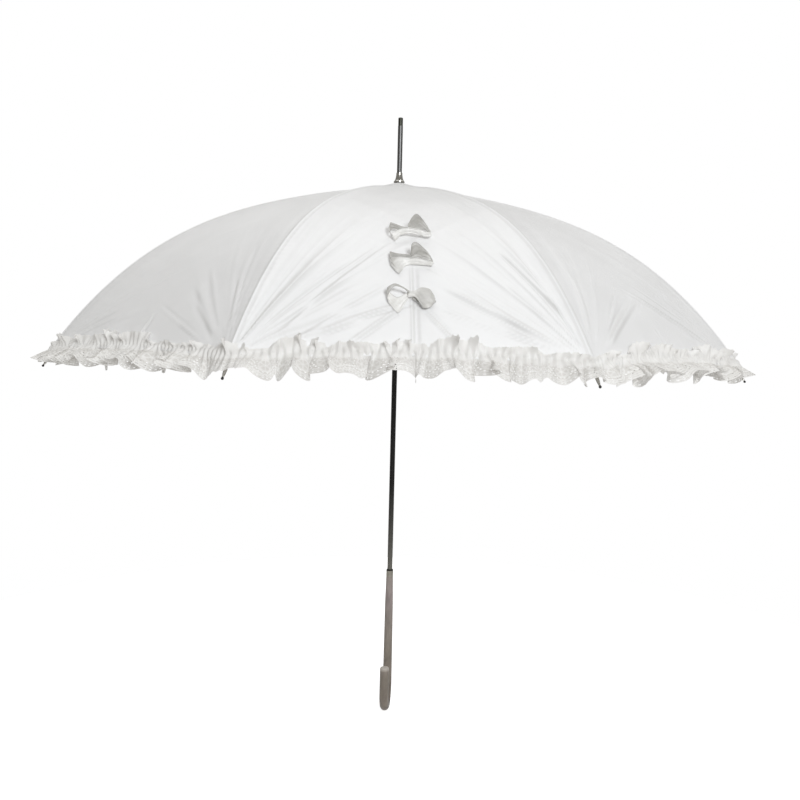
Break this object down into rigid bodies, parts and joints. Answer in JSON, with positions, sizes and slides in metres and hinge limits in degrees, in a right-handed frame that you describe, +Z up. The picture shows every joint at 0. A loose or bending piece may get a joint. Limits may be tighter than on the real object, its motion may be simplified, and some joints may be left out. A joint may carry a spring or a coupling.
{
  "type": "parasol",
  "caption": "White satin parasol with a curved dome of panels on hinged ribs, a gathered lace frill along the hem, satin bows, a slim metal shaft and a J-crook handle.",
  "frame": {"origin": "on the shaft's axis at the middle of the straight grip", "axes": "+Z up the shaft towards the ferrule; the bowed front panel and the crook face -Y"},
  "size_m": [0.8302, 0.8302, 0.805],
  "materials": {
    "satin": "satin",
    "lace": "matte",
    "ribbon": "satin",
    "shaft_metal": "gloss",
    "bright_metal": "polished",
    "frame_metal": "satin",
    "collar_metal": "satin",
    "dark_metal": "satin",
    "runner_plastic": "gloss",
    "handle_plastic": "satin"
  },
  "bodies": {
    "stem": {"shaft_tube": "shaft_metal", "ferrule": "bright_metal", "ferrule_cap": "dark_metal", "bell": "bright_metal", "crown_hub": "bright_metal", "crown_wire": "bright_metal", "handle": "handle_plastic", "handle_collar": "collar_metal", "handle_ring": "dark_metal"},
    "rib_1": {"rib_1": "frame_metal", "rib_tip_1": "bright_metal", "canopy_panel_1": "satin", "lace_frill_1": "lace", "bow_top": "ribbon", "bow_middle": "ribbon", "bow_bottom": "ribbon"},
    "rib_2": {"rib_2": "frame_metal", "rib_tip_2": "bright_metal", "canopy_panel_2": "satin", "lace_frill_2": "lace"},
    "rib_3": {"rib_3": "frame_metal", "rib_tip_3": "bright_metal", "canopy_panel_3": "satin", "lace_frill_3": "lace"},
    "rib_4": {"rib_4": "frame_metal", "rib_tip_4": "bright_metal", "canopy_panel_4": "satin", "lace_frill_4": "lace"},
    "rib_5": {"rib_5": "frame_metal", "rib_tip_5": "bright_metal", "canopy_panel_5": "satin", "lace_frill_5": "lace", "tie_strap": "satin", "tie_stud": "bright_metal"},
    "rib_6": {"rib_6": "frame_metal", "rib_tip_6": "bright_metal", "canopy_panel_6": "satin", "lace_frill_6": "lace"},
    "rib_7": {"rib_7": "frame_metal", "rib_tip_7": "bright_metal", "canopy_panel_7": "satin", "lace_frill_7": "lace"},
    "rib_8": {"rib_8": "frame_metal", "rib_tip_8": "bright_metal", "canopy_panel_8": "satin", "lace_frill_8": "lace"},
    "stretcher_1": {"stretcher_1": "frame_metal"},
    "stretcher_2": {"stretcher_2": "frame_metal"},
    "stretcher_3": {"stretcher_3": "frame_metal"},
    "stretcher_4": {"stretcher_4": "frame_metal"},
    "stretcher_5": {"stretcher_5": "frame_metal"},
    "stretcher_6": {"stretcher_6": "frame_metal"},
    "stretcher_7": {"stretcher_7": "frame_metal"},
    "stretcher_8": {"stretcher_8": "frame_metal"},
    "runner": {"runner": "runner_plastic", "runner_wire": "bright_metal"},
    "top_spring": {"top_spring": "bright_metal"},
    "bottom_spring": {"bottom_spring": "bright_metal"}
  },
  "joints": [
    {"name": "canopy_fold", "type": "hinge", "parent": "stem", "child": "rib_1", "pos_m": [-0.00287, -0.00693, 0.60907], "axis": [0.9239, -0.3827, 0], "range_deg": [0, 60], "deforming": ["canopy_panel_1", "canopy_panel_2", "canopy_panel_3", "canopy_panel_4", "canopy_panel_5", "canopy_panel_6", "canopy_panel_7", "canopy_panel_8", "lace_frill_1", "lace_frill_2", "lace_frill_3", "lace_frill_4", "lace_frill_5", "lace_frill_6", "lace_frill_7", "lace_frill_8", "bow_top", "bow_middle", "bow_bottom", "tie_strap", "tie_stud", "top_spring", "bottom_spring"]},
    {"name": "rib_2_hinge", "type": "hinge", "parent": "stem", "child": "rib_2", "pos_m": [0.00287, -0.00693, 0.60907], "axis": [0.9239, 0.3827, 0], "range_deg": [0, 60]},
    {"name": "rib_3_hinge", "type": "hinge", "parent": "stem", "child": "rib_3", "pos_m": [0.00693, -0.00287, 0.60907], "axis": [0.3827, 0.9239, 0], "range_deg": [0, 60]},
    {"name": "rib_4_hinge", "type": "hinge", "parent": "stem", "child": "rib_4", "pos_m": [0.00693, 0.00287, 0.60907], "axis": [-0.3827, 0.9239, 0], "range_deg": [0, 60]},
    {"name": "rib_5_hinge", "type": "hinge", "parent": "stem", "child": "rib_5", "pos_m": [0.00287, 0.00693, 0.60907], "axis": [-0.9239, 0.3827, 0], "range_deg": [0, 60]},
    {"name": "rib_6_hinge", "type": "hinge", "parent": "stem", "child": "rib_6", "pos_m": [-0.00287, 0.00693, 0.60907], "axis": [-0.9239, -0.3827, 0], "range_deg": [0, 60]},
    {"name": "rib_7_hinge", "type": "hinge", "parent": "stem", "child": "rib_7", "pos_m": [-0.00693, 0.00287, 0.60907], "axis": [-0.3827, -0.9239, 0], "range_deg": [0, 60]},
    {"name": "rib_8_hinge", "type": "hinge", "parent": "stem", "child": "rib_8", "pos_m": [-0.00693, -0.00287, 0.60907], "axis": [0.3827, -0.9239, 0], "range_deg": [0, 60]},
    {"name": "stretcher_1_rivet", "type": "hinge", "parent": "rib_1", "child": "stretcher_1", "pos_m": [-0.07654, -0.18478, 0.56249], "axis": [0.9239, -0.3827, 0], "range_deg": [-120, 0]},
    {"name": "stretcher_2_rivet", "type": "hinge", "parent": "rib_2", "child": "stretcher_2", "pos_m": [0.07654, -0.18478, 0.56249], "axis": [0.9239, 0.3827, 0], "range_deg": [-120, 0]},
    {"name": "stretcher_3_rivet", "type": "hinge", "parent": "rib_3", "child": "stretcher_3", "pos_m": [0.18478, -0.07654, 0.56249], "axis": [0.3827, 0.9239, 0], "range_deg": [-120, 0]},
    {"name": "stretcher_4_rivet", "type": "hinge", "parent": "rib_4", "child": "stretcher_4", "pos_m": [0.18478, 0.07654, 0.56249], "axis": [-0.3827, 0.9239, 0], "range_deg": [-120, 0]},
    {"name": "stretcher_5_rivet", "type": "hinge", "parent": "rib_5", "child": "stretcher_5", "pos_m": [0.07654, 0.18478, 0.56249], "axis": [-0.9239, 0.3827, 0], "range_deg": [-120, 0]},
    {"name": "stretcher_6_rivet", "type": "hinge", "parent": "rib_6", "child": "stretcher_6", "pos_m": [-0.07654, 0.18478, 0.56249], "axis": [-0.9239, -0.3827, 0], "range_deg": [-120, 0]},
    {"name": "stretcher_7_rivet", "type": "hinge", "parent": "rib_7", "child": "stretcher_7", "pos_m": [-0.18478, 0.07654, 0.56249], "axis": [-0.3827, -0.9239, 0], "range_deg": [-120, 0]},
    {"name": "stretcher_8_rivet", "type": "hinge", "parent": "rib_8", "child": "stretcher_8", "pos_m": [-0.18478, -0.07654, 0.56249], "axis": [0.3827, -0.9239, 0], "range_deg": [-120, 0]},
    {"name": "runner_hinge", "type": "hinge", "parent": "stretcher_1", "child": "runner", "pos_m": [-0.00287, -0.00693, 0.5159], "axis": [0.9239, -0.3827, 0], "range_deg": [0, 60]},
    {"name": "top_spring_press", "type": "hinge", "parent": "stem", "child": "top_spring", "pos_m": [0, 0.0015, 0.5189], "axis": [-1, 0, 0], "range_deg": [0, 5], "stiffness_Nm_per_rad": 2},
    {"name": "bottom_spring_press", "type": "hinge", "parent": "stem", "child": "bottom_spring", "pos_m": [0, 0.0015, 0.23207], "axis": [-1, 0, 0], "range_deg": [0, 5], "stiffness_Nm_per_rad": 2}
  ],
  "couplings": [
    {"joint": "rib_2_hinge", "follows": "canopy_fold", "ratio": 1},
    {"joint": "rib_3_hinge", "follows": "canopy_fold", "ratio": 1},
    {"joint": "rib_4_hinge", "follows": "canopy_fold", "ratio": 1},
    {"joint": "rib_5_hinge", "follows": "canopy_fold", "ratio": 1},
    {"joint": "rib_6_hinge", "follows": "canopy_fold", "ratio": 1},
    {"joint": "rib_7_hinge", "follows": "canopy_fold", "ratio": 1},
    {"joint": "rib_8_hinge", "follows": "canopy_fold", "ratio": 1},
    {"joint": "stretcher_1_rivet", "follows": "canopy_fold", "ratio": -2},
    {"joint": "stretcher_2_rivet", "follows": "canopy_fold", "ratio": -2},
    {"joint": "stretcher_3_rivet", "follows": "canopy_fold", "ratio": -2},
    {"joint": "stretcher_4_rivet", "follows": "canopy_fold", "ratio": -2},
    {"joint": "stretcher_5_rivet", "follows": "canopy_fold", "ratio": -2},
    {"joint": "stretcher_6_rivet", "follows": "canopy_fold", "ratio": -2},
    {"joint": "stretcher_7_rivet", "follows": "canopy_fold", "ratio": -2},
    {"joint": "stretcher_8_rivet", "follows": "canopy_fold", "ratio": -2},
    {"joint": "runner_hinge", "follows": "canopy_fold", "ratio": 1}
  ]
}
